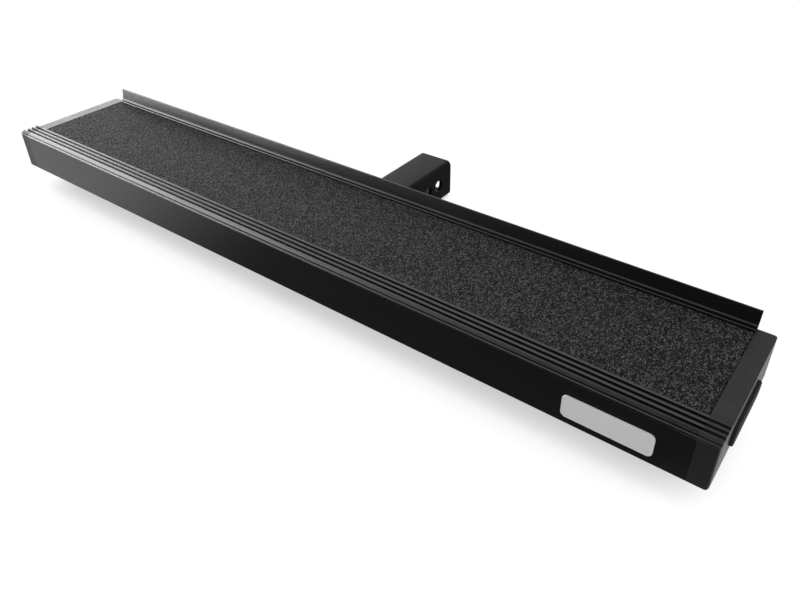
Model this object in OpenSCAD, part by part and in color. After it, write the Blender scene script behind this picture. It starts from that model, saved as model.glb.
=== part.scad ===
// Hitch step: an extruded deck with a ribbed nosing, a grit tread and moulded end caps, bolted to the
// mounting plate of a square hitch tube. Millimetres, +Z up, +X along the deck, +Y towards the vehicle.
// The origin is the centre of the main pin hole, on the axis of the tube.

/* [Deck extrusion] */
// Length of the extrusion, without the end caps
deck_len = 914.4; // [700:0.1:1300]
// Depth from the fascia to the rear edge of the caps
deck_depth = 154; // [146:1:190]
// Height of the flat top above the bottom of the fascia
deck_height = 47; // [45:0.5:56]
// Thickness of the front fascia
fascia_t = 2.4; // [2:0.1:3.2]
// Thickness of the deck plate under the tread
plate_t = 2.8; // [2.2:0.1:4]
// Thickness of the rear skirt
skirt_t = 2.4; // [2:0.1:3.2]
// Height of the rear skirt, down from the flat top
skirt_h = 27; // [16:0.5:29]
// Width of the flange turned in at the foot of the fascia
flange_w = 12; // [6:0.5:16]
// Height of the hook on the inner edge of that flange
hook_h = 6; // [4:0.5:10]

/* [Nosing ribs] */
// Number of ribs along the nosing
rib_count = 4; // [2:1:5]
// Distance from one rib to the next
rib_pitch = 6.1; // [5.5:0.1:6.6]
// Height of the ribs above the flat top
rib_h = 3.2; // [2:0.1:4]
// Depth of the grooves, measured from the rib tops
groove_h = 2.8; // [1.6:0.1:3.2]
// Width of the land on top of each rib
rib_land = 1.5; // [0.8:0.1:2]
// Run of the steep rear side of each rib
rib_drop = 1.2; // [0.5:0.1:1.5]
// Width of the flat floor of the grooves between the ribs
groove_floor = 2.5; // [1:0.1:2.8]
// Height of the upright front of those ribs, above the groove
rib_riser = 2.4; // [1:0.1:2.6]
// Width of the floor of the first groove, behind the bead
nose_floor = 1; // [0.6:0.1:1.6]
// Height of the upright front of the first rib, which slopes more
nose_riser = 1.1; // [0.6:0.1:2]
// Radius of the bead along the top of the fascia
bead_r = 1.5; // [1:0.1:2]
// How far the bead stands proud of the fascia and of the groove behind it
bead_proud = 0.4; // [0.2:0.05:0.4]

/* [Tread mat] */
// Depth of the recess that holds the mat
recess_h = 1.2; // [0.8:0.1:2]
// Thickness of the mat
mat_t = 1.1; // [0.6:0.1:1.6]
// Gap around the edge of the mat
mat_gap = 0.3; // [0.1:0.05:1]

/* [Rear lip] */
// Width of the ledge between the mat and the lip
ledge_w = 5.2; // [4:0.1:8]
// Height of the ledge above the flat top
ledge_rise = 0.6; // [0.4:0.1:2]
// Radius of the bead along the front of the ledge
ledge_bead_r = 1; // [0.8:0.1:1.2]
// Height of the lip above the ledge
lip_h = 17.4; // [8:0.2:30]
// Thickness of the lip
lip_t = 2; // [1.6:0.1:3]
// Angle by which the lip leans back
lip_lean = 10; // [0:1:20]
// Radius of the bead at the foot of the lip
foot_r = 1.9; // [1.6:0.1:2.6]
// How far the bead stands above the ledge
foot_proud = 3.3; // [2:0.1:3.6]

/* [Slotted rails] */
// Distance between the two rails under the deck
rail_spacing = 64; // [56:1:76]
// Height of the rails under the deck plate
rail_h = 20.6; // [16:0.2:26]
// Thickness of the side walls of a rail
rail_wall = 2.6; // [2:0.1:3.4]
// Thickness of the lips that carry the bolt heads
rail_lip_t = 3; // [2.4:0.1:4]
// Radius of the holes of the screw ports
port_bore_r = 1.9; // [1.6:0.05:2.2]
// Wall of the screw ports
port_wall = 2.1; // [1.6:0.1:2.6]

/* [End caps] */
// Width of an end cap, outwards from the extrusion
cap_w = 17; // [13:0.2:26]
// Thickness of the cap's walls
cap_wall = 2.4; // [2:0.1:3.2]
// Thickness of the cap's end wall
cap_end_t = 3; // [2.6:0.1:4]
// Radius of the outer bottom corners
cap_foot_r = 4; // [2:0.5:6]
// Radius of the outer upright edges
cap_edge_r = 3; // [1.5:0.5:4]
// Radius of the outer top edge
cap_top_r = 1.6; // [1:0.1:2.4]
// Length of the tongues that plug into the extrusion
tongue_len = 14; // [8:1:30]
// Thickness of the tongues
tongue_t = 2; // [1.6:0.1:2.4]
// Gap between the tongues and the extrusion
tongue_gap = 0.3; // [0.15:0.05:0.5]
// Radius of the bosses around the cap screws
boss_r = 6.2; // [5.8:0.1:7]

/* [End pads] */
// Length of the pad on each end face
pad_len = 78; // [72:1:100]
// Width of the pad
pad_w = 19.6; // [19:0.2:24]
// Thickness of the pad, with the part that sits in the cap
pad_t = 4; // [3:0.1:6]
// Depth of the seat for the pad in the cap
pad_seat = 1; // [0.6:0.1:1.2]
// Radius of the pad's outer edge
pad_edge_r = 1.6; // [0.8:0.1:1.8]
// Gap around the pad in its seat
pad_gap = 0.2; // [0.1:0.05:0.4]
// Height of the cap screws above the middle of the pad
pad_drop = 3.4; // [0:0.2:4]
// How far the pad sits in front of the middle of the end face
pad_ahead = 2.6; // [0:0.2:4]

/* [Cap screws] */
// Radius of the screw's shank
screw_r = 1.85; // [1.55:0.05:1.85]
// Length of the screw under its head
screw_len = 26; // [20:1:32]
// Radius of the pan head
screw_head_r = 4; // [3.4:0.1:4.2]
// Height of the pan head
screw_head_h = 2.4; // [1.8:0.1:2.8]
// Gap between the screw and its hole in the cap
screw_gap = 0.5; // [0.3:0.05:0.7]

/* [Name plate] */
// Length of the bare plate on the fascia
name_len = 79; // [40:1:110]
// Height of the plate
name_h = 24; // [14:0.5:30]
// Thickness of the plate
name_t = 0.9; // [0.6:0.1:1.5]
// Radius of the plate's corners
name_r = 5; // [2:0.5:7]
// Distance from the right end of the extrusion to the plate
name_inset = 28; // [10:1:120]
// Height of the plate's lower edge above the bottom of the fascia
name_up = 7; // [4:0.5:10]

/* [Hitch tube] */
// Outside width of the square tube
tube_size = 50.8; // [50:0.1:52]
// Wall of the tube
tube_wall = 4.8; // [3:0.1:6.4]
// Outside radius of the tube's corners
tube_corner_r = 6.5; // [5:0.1:9]
// Length of tube that stands out behind the deck
tube_reach = 165.4; // [120:0.2:260]
// Diameter of the pin holes
pin_d = 16.3; // [16:0.1:17]
// Distance from the end of the tube to the main pin hole
pin_from_end = 28; // [20:0.5:45]
// Distance from the main pin hole to the second one
pin_pitch = 24; // [20:0.5:45]
// Distance from the plate's front edge to the front end of the tube
tube_setback = 8; // [4:0.5:12]

/* [Mounting plate] */
// Thickness of the plate welded to the tube
mount_t = 6; // [5:0.1:8]
// Distance between the bolts along the deck
bolt_span = 110; // [90:1:160]
// Distance from the bolts to the plate's ends
mount_edge_x = 20; // [14:0.5:30]
// Distance from the bolts to the plate's front and rear edges
mount_edge_y = 16; // [13:0.5:20]
// Radius of the plate's corners
mount_r = 8; // [4:0.5:12]
// Clearance of the bolts in the plate and in the slots
bolt_gap = 0.4; // [0.2:0.05:0.6]

/* [Gussets and welds] */
// Thickness of the gussets
gusset_t = 5; // [4:0.5:6]
// Length of a gusset along the mounting plate
gusset_w = 38; // [24:1:44]
// Height of a gusset along the side of the tube
gusset_h = 34; // [20:1:40]
// Distance between the front and the rear gussets
gusset_spacing = 26; // [18:1:30]
// Width of the blunt ends of a gusset
gusset_blunt = 5; // [3:0.5:8]
// Leg length of the weld beads
weld_leg = 4; // [3:0.2:5]

/* [Deck bolts] */
// Diameter of the bolts
bolt_d = 8; // [7.8:0.1:8]
// Length of the bolts under the head
bolt_len = 25; // [24:0.5:30]
// Width across the flats of the bolt heads and nuts
hex_af = 13; // [12.5:0.1:13]
// Height of a bolt head
head_h = 5.3; // [4:0.1:6]
// Gap between a bolt head and the walls of its rail
head_gap = 0.3; // [0.15:0.05:0.5]
// Height of a nut
nut_h = 6.5; // [5:0.1:7]
// Outside diameter of a flat washer
washer_d = 16; // [15:0.5:18]
// Thickness of a flat washer
washer_t = 1.6; // [1.2:0.1:2]
// Outside diameter of a spring washer
spring_d = 13.6; // [12.8:0.1:14.2]
// Thickness of a spring washer
spring_t = 2; // [1.6:0.1:2.4]
// Gap between the bolts and the holes of the nuts and washers
ring_gap = 0.1; // [0.05:0.05:0.2]

/* [Hidden] */
$fn = 48;
cut = 1; // how far a cutting shape runs past the face that it opens
black = "#1b1b1c";
cap_black = "#2b2b2c";
grit = "#2e2e2f";
silver = "#c3c5c8";
zinc = "#a9abae";

// Heights and depths in the deck's own frame: y from the fascia, z from the bottom of the fascia
recess_z = deck_height - recess_h;
under_z = recess_z - plate_t;
rail_z = under_z - rail_h;
rib_top = deck_height + rib_h;
groove_z = rib_top - groove_h;
nose_under_z = groove_z - fascia_t;
rib_end_y = bead_r + rib_count * rib_pitch;
mat_front_y = rib_end_y;
mat_rear_y = deck_depth - ledge_w;
ledge_z = deck_height + ledge_rise;
lip_y = deck_depth + lip_t / 4;
foot_inset = 0.4;
rail_mid_y = deck_depth / 2;
rail_front_y = rail_mid_y - rail_spacing / 2;
rail_rear_y = rail_mid_y + rail_spacing / 2;
rail_inner = hex_af + 2 * head_gap;
rail_w = rail_inner + 2 * rail_wall;
slot_w = bolt_d + 2 * bolt_gap;
port_r = port_bore_r + port_wall;
port_z = rail_z + port_r;
port_out = rail_w / 2 + port_r - port_wall / 2;
port_front_y = rail_front_y + port_out;
port_rear_y = rail_rear_y - port_out;
pad_mid_y = rail_mid_y - pad_ahead;
pad_z = port_z - pad_drop;

// Places in the part's frame
deck_front_y = -(deck_depth + tube_reach - pin_from_end);
mount_z = tube_size / 2;
deck_z = mount_z + mount_t - rail_z;
tube_rear_y = pin_from_end;
mount_front_y = deck_front_y + rail_front_y - mount_edge_y;
mount_d = rail_spacing + 2 * mount_edge_y;
mount_w = bolt_span + 2 * mount_edge_x;
tube_front_y = mount_front_y + tube_setback;
tube_len = tube_rear_y - tube_front_y;
gusset_mid_y = deck_front_y + rail_mid_y;
deck_end = deck_len / 2;
head_z = mount_z + mount_t + rail_lip_t;

// Carries each child, drawn with y to the right and z up, along X from x = from to x = to
module along_x(from, to) {
    for (i = [0 : $children - 1])
        translate([from, 0, 0]) rotate([90, 0, 90]) linear_extrude(to - from) children(i);
}

// Moves a shape from the deck's own frame to its place in the part
module at_deck() {
    translate([0, deck_front_y, deck_z]) children();
}

// Puts a child at each of the four deck bolts
module at_bolts() {
    for (sx = [-1, 1], y = [rail_front_y, rail_rear_y])
        translate([sx * bolt_span / 2, deck_front_y + y, 0]) children();
}

// A rectangle with its corner at the origin and four round corners
module round_rect(w, h, r) {
    translate([r, 0]) square([w - 2 * r, h]);
    translate([0, r]) square([w, h - 2 * r]);
    for (x = [r, w - r], y = [r, h - r])
        translate([x, y]) circle(r);
}

// A hexagonal prism with both faces chamfered by a 30 degree cone
module hex_blank(af, h) {
    corner_r = af / sqrt(3);
    rim = (corner_r - af / 2) * tan(30);
    intersection() {
        cylinder(r = corner_r, h = h, $fn = 6);
        rotate_extrude()
            polygon([[0, 0], [af / 2, 0], [corner_r, rim], [corner_r, h - rim], [af / 2, h], [0, h]]);
    }
}

// The foot of rib i, counted from the nose
function rib_y(i) = bead_r + i * rib_pitch;

// The groove's floor in front of rib i, and the height of the rib's upright front
function rib_floor(i) = i == 0 ? nose_floor : groove_floor;
function rib_front(i) = i == 0 ? nose_riser : rib_riser;

// Corners of rib i: the groove's floor, the upright front, a slope up, a narrow land, and then the
// steep rear side down to the next foot
function rib_points(i) = [
    [rib_y(i), groove_z], [rib_y(i) + rib_floor(i), groove_z],
    [rib_y(i) + rib_floor(i), groove_z + rib_front(i)],
    [rib_y(i + 1) - rib_drop - rib_land, rib_top], [rib_y(i + 1) - rib_drop, rib_top]];

// Sawtooth outline of the ribs from the fascia to the end of the last one
function nosing_points() = concat(
    [[0, groove_z - bead_r]],
    [for (i = [0 : rib_count - 1], p = rib_points(i)) p],
    [[rib_end_y, groove_z]]);

// The bead along the top of the fascia
module nose_bead() {
    translate([bead_r - bead_proud, groove_z - bead_r + bead_proud]) circle(bead_r);
}

// One hollow rail under the deck plate, slotted at the bottom for the bolts
module rail_section() {
    difference() {
        translate([-rail_w / 2, rail_z]) square([rail_w, rail_h + plate_t / 2]);
        translate([-rail_inner / 2, rail_z + rail_lip_t]) square([rail_inner, rail_h - rail_lip_t]);
        translate([-slot_w / 2, rail_z - cut]) square([slot_w, rail_lip_t + 2 * cut]);
    }
}

// Ring of a screw port, which stands off the inner wall of its rail and is slit on the far side
module port_section(away) {
    difference() {
        circle(port_r);
        circle(port_bore_r);
        translate([away > 0 ? 0 : -port_r - cut, -port_bore_r / 2]) square([port_r + cut, port_bore_r]);
    }
}

// The blade of the lip at the rear edge, which leans back from its foot
module lip_blade() {
    translate([lip_y, ledge_z - lip_t]) rotate(-lip_lean)
        translate([-lip_t / 2, 0]) square([lip_t, lip_h + lip_t / 2]);
}

// Round top edge of the lip
module lip_edge() {
    translate([lip_y, ledge_z - lip_t]) rotate(-lip_lean)
        translate([0, lip_h + lip_t / 2]) circle(lip_t / 2);
}

// The bead along the front of the ledge, which guards the edge of the mat
module ledge_bead() {
    translate([mat_rear_y + ledge_bead_r, ledge_z]) circle(ledge_bead_r);
}

// The bead along the foot of the lip
module foot_bead() {
    translate([lip_y + lip_t / 2 + foot_inset - foot_r, ledge_z + foot_proud - foot_r]) circle(foot_r);
}

// Main outline of the extrusion. It runs from the foot of the fascia over the ribs, the recess and the
// ledge, down the skirt, and back along the underside to the flange and its hook.
module deck_outline() {
    skirt_z = deck_height - skirt_h;
    polygon(concat(
        [[0, 0]], nosing_points(),
        [[rib_end_y, recess_z], [mat_rear_y, recess_z], [mat_rear_y, ledge_z], [deck_depth, ledge_z],
         [deck_depth, skirt_z], [deck_depth - skirt_t, skirt_z], [deck_depth - skirt_t, under_z],
         [rib_end_y - plate_t, under_z], [rib_end_y - plate_t, nose_under_z], [fascia_t, nose_under_z],
         [fascia_t, fascia_t], [flange_w - fascia_t, fascia_t], [flange_w - fascia_t, hook_h],
         [flange_w, hook_h], [flange_w, 0]]));
}

module deck_extrusion() {
    color(black) at_deck() along_x(-deck_end, deck_end) {
        deck_outline();
        nose_bead();
        ledge_bead();
        foot_bead();
        lip_blade();
        lip_edge();
        translate([rail_front_y, 0]) rail_section();
        translate([rail_rear_y, 0]) rail_section();
        translate([port_front_y, port_z]) port_section(1);
        translate([port_rear_y, port_z]) port_section(-1);
    }
}

module tread_mat() {
    color(grit) at_deck() along_x(-deck_end + mat_gap, deck_end - mat_gap)
        translate([mat_front_y + mat_gap, recess_z]) square([mat_rear_y - mat_front_y - 2 * mat_gap, mat_t]);
}

// Outline of a cap seen along X: the nosing carried on, a flat top, and straight rear and bottom
module cap_outline() {
    polygon(concat([[0, 0]], nosing_points(),
                   [[rib_end_y, deck_height], [deck_depth, deck_height], [deck_depth, 0]]));
}

// Block seen from the front, with its outer bottom and top corners rounded, from x = 0 to cap_w
module cap_front_view() {
    top = rib_top + cut;
    square([cap_w - cap_foot_r, top]);
    translate([0, cap_foot_r]) square([cap_w - cap_top_r, top - cap_foot_r]);
    translate([0, cap_foot_r]) square([cap_w, rib_top - cap_foot_r - cap_top_r]);
    translate([cap_w - cap_foot_r, cap_foot_r]) circle(cap_foot_r);
    translate([cap_w - cap_top_r, rib_top - cap_top_r]) circle(cap_top_r);
}

// The same block seen from above, with its outer upright edges rounded
module cap_plan_view() {
    translate([0, -bead_proud]) square([cap_w - cap_edge_r, deck_depth + bead_proud]);
    translate([0, cap_edge_r - bead_proud]) square([cap_w, deck_depth - 2 * cap_edge_r + bead_proud]);
    for (y = [cap_edge_r - bead_proud, deck_depth - cap_edge_r])
        translate([cap_w - cap_edge_r, y]) circle(cap_edge_r);
}

// Seat or pad outline: a bar with round ends, seen along X
module pad_outline(grow) {
    r = pad_w / 2 + grow;
    half = (pad_len - pad_w) / 2;
    translate([pad_mid_y - half, pad_z - r]) square([2 * half, 2 * r]);
    for (y = [pad_mid_y - half, pad_mid_y + half])
        translate([y, pad_z]) circle(r);
}

// Tongues that plug into the open end of the extrusion
module cap_tongues() {
    bay_front = rail_mid_y - rail_spacing / 2 + rail_w / 2 + tongue_gap;
    bay_rear = rail_mid_y + rail_spacing / 2 - rail_w / 2 - tongue_gap;
    upper = under_z - tongue_gap - tongue_t;
    rear_bay = rail_rear_y + rail_w / 2 + tongue_gap;
    inner_y = fascia_t + tongue_gap;
    along_x(-tongue_len, cap_w - cap_end_t) {
        translate([bay_front, upper]) square([bay_rear - bay_front, tongue_t]);
        translate([rear_bay, upper]) square([deck_depth - skirt_t - tongue_gap - rear_bay, tongue_t]);
        translate([inner_y, hook_h + tongue_gap]) square([tongue_t, nose_under_z - hook_h - 2 * tongue_gap]);
        translate([deck_depth - skirt_t - tongue_gap - tongue_t, upper - skirt_h / 3])
            square([tongue_t, skirt_h / 3 + tongue_t]);
    }
}

// One end cap for the right end, with x = 0 on the end face of the extrusion
module cap_body() {
    floor_x = cap_w - pad_seat - screw_head_h - screw_gap;
    difference() {
        union() {
            difference() {
                intersection() {
                    along_x(0, cap_w) {
                        cap_outline();
                        nose_bead();
                    }
                    linear_extrude(rib_top + cut) cap_plan_view();
                    translate([0, deck_depth, 0]) rotate([90, 0, 0])
                        linear_extrude(deck_depth + cut) cap_front_view();
                }
                along_x(-cut, cap_w - cap_end_t)
                    translate([cap_wall, cap_wall])
                        square([deck_depth - 2 * cap_wall, deck_height - 2 * cap_wall]);
            }
            for (y = [port_front_y, port_rear_y])
                along_x(0, cap_w - cap_end_t / 2) translate([y, port_z]) circle(boss_r);
            // Webs that stiffen the shell
            for (y = [rail_front_y / 2 + cap_wall, (rail_rear_y + deck_depth) / 2])
                along_x(cap_wall, cap_w - cap_end_t / 2)
                    translate([y - tongue_t / 2, cap_wall / 2]) square([tongue_t, deck_height - cap_wall]);
            cap_tongues();
        }
        for (y = [port_front_y, port_rear_y]) {
            along_x(-cut, cap_w + cut) translate([y, port_z]) circle(screw_r + screw_gap);
            along_x(floor_x, cap_w + cut) translate([y, port_z]) circle(screw_head_r + screw_gap);
        }
        along_x(cap_w - pad_seat, cap_w + cut) pad_outline(pad_gap);
    }
}

module end_cap_right() {
    color(cap_black) at_deck() translate([deck_end, 0, 0]) cap_body();
}

module end_cap_left() {
    color(cap_black) mirror([1, 0, 0]) at_deck() translate([deck_end, 0, 0]) cap_body();
}

// Half of the pad's section: x out from the middle, y along its thickness, outer edge rounded
module pad_half_section() {
    r = pad_w / 2;
    square([r, pad_t - pad_edge_r]);
    square([r - pad_edge_r, pad_t]);
    translate([r - pad_edge_r, pad_t - pad_edge_r]) circle(pad_edge_r);
}

// The pad, lying on the floor of its seat at the right end
module pad_body() {
    half = (pad_len - pad_w) / 2;
    translate([deck_end + cap_w - pad_seat, pad_mid_y, pad_z]) rotate([0, 90, 0]) {
        for (side = [-1, 1])
            translate([0, side * half, 0]) rotate([0, 0, side > 0 ? 0 : 180])
                rotate_extrude(angle = 180) pad_half_section();
        translate([0, half, 0]) rotate([90, 0, 0]) linear_extrude(2 * half) {
            pad_half_section();
            mirror([1, 0]) pad_half_section();
        }
    }
}

module end_pad_right() {
    color(cap_black) at_deck() pad_body();
}

module end_pad_left() {
    color(cap_black) mirror([1, 0, 0]) at_deck() pad_body();
}

// A pan head tapping screw that points along -X, with the face under its head at x = 0
module tapping_screw() {
    slot_d = screw_head_h / 2;
    slot_l = screw_head_r;
    tip = 2 * screw_r;
    rotate([0, -90, 0]) {
        cylinder(r = screw_r, h = screw_len - tip);
        translate([0, 0, screw_len - tip]) cylinder(r1 = screw_r, r2 = screw_r / 4, h = tip);
    }
    difference() {
        rotate([0, 90, 0]) rotate_extrude() {
            square([screw_head_r, screw_head_h / 2]);
            polygon([[0, 0], [screw_head_r, screw_head_h / 2], [screw_head_r * 0.7, screw_head_h],
                     [0, screw_head_h]]);
        }
        for (turn = [0, 90])
            rotate([turn, 0, 0]) translate([screw_head_h - slot_d, -slot_l / 2, -screw_r / 4])
                cube([slot_d + cut, slot_l, screw_r / 2]);
    }
}

module cap_screws(side) {
    seat_x = deck_end + cap_w - pad_seat - screw_head_h - screw_gap;
    mirror([side < 0 ? 1 : 0, 0, 0]) at_deck()
        for (y = [port_front_y, port_rear_y])
            translate([seat_x, y, port_z]) tapping_screw();
}

module cap_screws_left() {
    color(zinc) cap_screws(-1);
}

module cap_screws_right() {
    color(zinc) cap_screws(1);
}

module name_plate() {
    color(silver) at_deck() translate([deck_end - name_inset - name_len, 0, name_up])
        rotate([90, 0, 0]) linear_extrude(name_t) round_rect(name_len, name_h, name_r);
}

// Section of the square tube, seen along Y
module tube_section(size, r) {
    translate([-size / 2, -size / 2]) round_rect(size, size, r);
}

module hitch_tube() {
    inner = tube_size - 2 * tube_wall;
    color(black) difference() {
        translate([0, tube_rear_y, 0]) rotate([90, 0, 0]) linear_extrude(tube_len)
            difference() {
                tube_section(tube_size, tube_corner_r);
                tube_section(inner, max(tube_corner_r - tube_wall, 1));
            }
        for (y = [0, -pin_pitch])
            translate([-tube_size, y, 0]) rotate([0, 90, 0]) cylinder(d = pin_d, h = 2 * tube_size);
    }
}

module mounting_plate() {
    color(black) difference() {
        translate([-mount_w / 2, mount_front_y, mount_z]) linear_extrude(mount_t)
            round_rect(mount_w, mount_d, mount_r);
        at_bolts() translate([0, 0, mount_z - cut])
            cylinder(d = bolt_d + 2 * bolt_gap, h = mount_t + 2 * cut);
    }
}

// A gusset between the side of the tube and the underside of the mounting plate
module gusset(side, y) {
    inner_x = tube_size / 2;
    low_z = mount_z - gusset_h;
    relief = tube_corner_r + weld_leg / 2;
    color(black) mirror([side < 0 ? 1 : 0, 0, 0]) translate([0, y + gusset_t / 2, 0]) rotate([90, 0, 0])
        linear_extrude(gusset_t)
            polygon([[inner_x, low_z], [inner_x, mount_z - relief], [inner_x + relief, mount_z],
                     [inner_x + gusset_w, mount_z], [inner_x + gusset_w, mount_z - gusset_blunt],
                     [inner_x + gusset_blunt, low_z]]);
}

module gusset_front_left() {
    gusset(-1, gusset_mid_y - gusset_spacing / 2);
}

module gusset_front_right() {
    gusset(1, gusset_mid_y - gusset_spacing / 2);
}

module gusset_rear_left() {
    gusset(-1, gusset_mid_y + gusset_spacing / 2);
}

module gusset_rear_right() {
    gusset(1, gusset_mid_y + gusset_spacing / 2);
}

// The two beads that fill the groove between the tube's round corners and the mounting plate
module weld_beads() {
    edge_x = tube_size / 2;
    start_y = tube_front_y + weld_leg;
    end_y = mount_front_y + mount_d - weld_leg;
    color(black) for (side = [0, 1])
        mirror([side, 0, 0]) translate([0, end_y, 0]) rotate([90, 0, 0]) linear_extrude(end_y - start_y)
            difference() {
                polygon([[edge_x - tube_corner_r, mount_z], [edge_x + weld_leg, mount_z],
                         [edge_x, mount_z - tube_corner_r],
                         [edge_x - tube_corner_r, mount_z - tube_corner_r]]);
                tube_section(tube_size, tube_corner_r);
            }
}

// Hexagon bolts with their shanks pointing down, kept from turning by the walls of the rails
module deck_bolts() {
    color(zinc) at_bolts() translate([0, 0, head_z]) {
        hex_blank(hex_af, head_h);
        translate([0, 0, -bolt_len]) cylinder(d = bolt_d, h = bolt_len + head_h / 2);
    }
}

module flat_washers() {
    color(zinc) at_bolts() translate([0, 0, mount_z - washer_t]) linear_extrude(washer_t)
        difference() {
            circle(d = washer_d);
            circle(d = bolt_d + 2 * ring_gap);
        }
}

// Split rings, cut at a slant
module spring_washers() {
    slit = spring_t / 3;
    color(zinc) at_bolts() translate([0, 0, mount_z - washer_t - spring_t]) difference() {
        linear_extrude(spring_t) difference() {
            circle(d = spring_d);
            circle(d = bolt_d + 2 * ring_gap);
        }
        translate([bolt_d / 4, -slit / 2, spring_t / 2]) rotate([30, 0, 0])
            translate([0, 0, -2 * spring_t]) cube([spring_d, slit, 4 * spring_t]);
    }
}

module hex_nuts() {
    color(zinc) at_bolts() translate([0, 0, mount_z - washer_t - spring_t - nut_h]) difference() {
        hex_blank(hex_af, nut_h);
        translate([0, 0, -cut]) cylinder(d = bolt_d + 2 * ring_gap, h = nut_h + 2 * cut);
    }
}

deck_extrusion();
tread_mat();
end_cap_left();
end_cap_right();
end_pad_left();
end_pad_right();
cap_screws_left();
cap_screws_right();
name_plate();
hitch_tube();
mounting_plate();
gusset_front_left();
gusset_front_right();
gusset_rear_left();
gusset_rear_right();
weld_beads();
deck_bolts();
flat_washers();
spring_washers();
hex_nuts();
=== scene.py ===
import math

import bmesh
import bpy
import numpy as np
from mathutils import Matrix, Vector


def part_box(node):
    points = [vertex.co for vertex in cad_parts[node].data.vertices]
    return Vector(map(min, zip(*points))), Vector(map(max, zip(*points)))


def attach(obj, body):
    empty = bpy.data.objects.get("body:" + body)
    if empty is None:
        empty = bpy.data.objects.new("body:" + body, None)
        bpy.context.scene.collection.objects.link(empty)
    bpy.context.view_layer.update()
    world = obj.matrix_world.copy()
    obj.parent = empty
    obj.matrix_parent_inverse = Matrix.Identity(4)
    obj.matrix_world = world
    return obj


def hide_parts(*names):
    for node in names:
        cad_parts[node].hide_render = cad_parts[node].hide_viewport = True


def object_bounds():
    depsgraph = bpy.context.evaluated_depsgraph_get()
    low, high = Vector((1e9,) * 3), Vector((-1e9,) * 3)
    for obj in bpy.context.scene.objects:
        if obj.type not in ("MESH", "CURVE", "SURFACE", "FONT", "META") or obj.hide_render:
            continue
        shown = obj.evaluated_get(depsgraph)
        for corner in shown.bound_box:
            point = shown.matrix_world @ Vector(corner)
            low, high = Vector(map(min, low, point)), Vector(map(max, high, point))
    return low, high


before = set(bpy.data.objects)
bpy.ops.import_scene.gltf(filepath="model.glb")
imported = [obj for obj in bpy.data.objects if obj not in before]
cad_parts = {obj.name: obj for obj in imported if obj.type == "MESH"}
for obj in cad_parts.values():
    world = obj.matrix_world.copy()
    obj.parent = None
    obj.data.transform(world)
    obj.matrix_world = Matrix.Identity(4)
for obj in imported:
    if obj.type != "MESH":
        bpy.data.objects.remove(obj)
CAD_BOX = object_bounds()

bl_info = {
    "name": "Hitch step finish",
    "version": (1, 0, 0),
    "blender": (4, 5, 0),
    "location": "3D View > Sidebar > Hitch step",
    "description": "Coats, grit, welds and threads for the hitch step's solids, and a studio",
    "category": "Object",
}

BODY = "root"
MM = 0.001

# Angle in degrees past which two facets of a solid meet in a sharp edge, and the gap that is welded
FACET_ANGLE = 28
WELD_GAP = 0.01 * MM

# How far the black and bright cards, and the floor, stand off the lowest point of the part
CARD_LIFT = 2 * MM
FLOOR_DROP = 0.4 * MM


# Property groups: what a user would change

class HitchStepSizes(bpy.types.PropertyGroup):
    """Sizes of the pieces that this add-on makes."""

    grit_step: bpy.props.FloatProperty(
        name="Grit grid step", description="Distance between the grit surface's points",
        default=1.15 * MM, min=0.8 * MM, max=4 * MM, precision=5, unit="LENGTH")
    grain_pitch: bpy.props.FloatProperty(
        name="Grain pitch", description="Mean distance between two grains of the tread",
        default=2.3 * MM, min=1 * MM, max=8 * MM, precision=5, unit="LENGTH")
    grain_height: bpy.props.FloatProperty(
        name="Grain height", description="Height of the tallest grains over the mat",
        default=0.75 * MM, min=0, max=2 * MM, precision=5, unit="LENGTH")
    plate_rim: bpy.props.FloatProperty(
        name="Plate rim", description="Width of the rolled rim of the bare plate",
        default=1.1 * MM, min=0.2 * MM, max=3 * MM, precision=5, unit="LENGTH")
    plate_radius: bpy.props.FloatProperty(
        name="Plate corner radius", description="Corner radius of the bare plate",
        default=5 * MM, min=1 * MM, max=10 * MM, precision=5, unit="LENGTH")
    weld_ripple: bpy.props.FloatProperty(
        name="Weld ripple pitch", description="Distance between two ripples of a weld bead",
        default=1.9 * MM, min=0.5 * MM, max=6 * MM, precision=5, unit="LENGTH")
    rim_drop: bpy.props.FloatProperty(
        name="Rim drop", description="How far the grit falls away at its edges",
        default=0.8 * MM, min=0, max=1.5 * MM, precision=5, unit="LENGTH")
    gusset_leg: bpy.props.FloatProperty(
        name="Gusset weld leg", description="Leg length of the short beads along the gussets",
        default=3 * MM, min=1 * MM, max=5 * MM, precision=5, unit="LENGTH")
    thread_pitch: bpy.props.FloatProperty(
        name="Thread pitch", description="Pitch of the deck bolts' thread",
        default=1.25 * MM, min=0.5 * MM, max=3 * MM, precision=5, unit="LENGTH")
    edge_radius: bpy.props.FloatProperty(
        name="Edge softening", description="Radius at which sharp edges catch the light",
        default=0.35 * MM, min=0, max=2 * MM, precision=5, unit="LENGTH")


def colour_property(name, description, grey):
    """A colour swatch whose default is a plain grey."""
    return bpy.props.FloatVectorProperty(
        name=name, description=description, default=(grey, grey, grey * 1.02),
        subtype="COLOR", size=3, min=0, max=1)


class HitchStepColours(bpy.types.PropertyGroup):
    """Colours of the finishes, as linear values."""

    deck_coat: colour_property("Deck coat", "Black powder coat of the board", 0.005)
    cap_plastic: colour_property("Cap plastic", "Moulded plastic of the end caps", 0.020)
    pad_rubber: colour_property("Pad rubber", "Rubber of the end pads", 0.010)
    tube_coat: colour_property("Tube coat", "Powder coat of the tube, plate and gussets", 0.009)
    grit_low: colour_property("Grit hollows", "Colour between the grains", 0.004)
    grit_high: colour_property("Grit tips", "Colour on top of the grains", 0.17)
    plate_silver: colour_property("Plate silver", "Satin silver of the bare plate", 0.80)
    zinc: colour_property("Zinc", "Zinc plating of the fasteners", 0.58)


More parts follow.
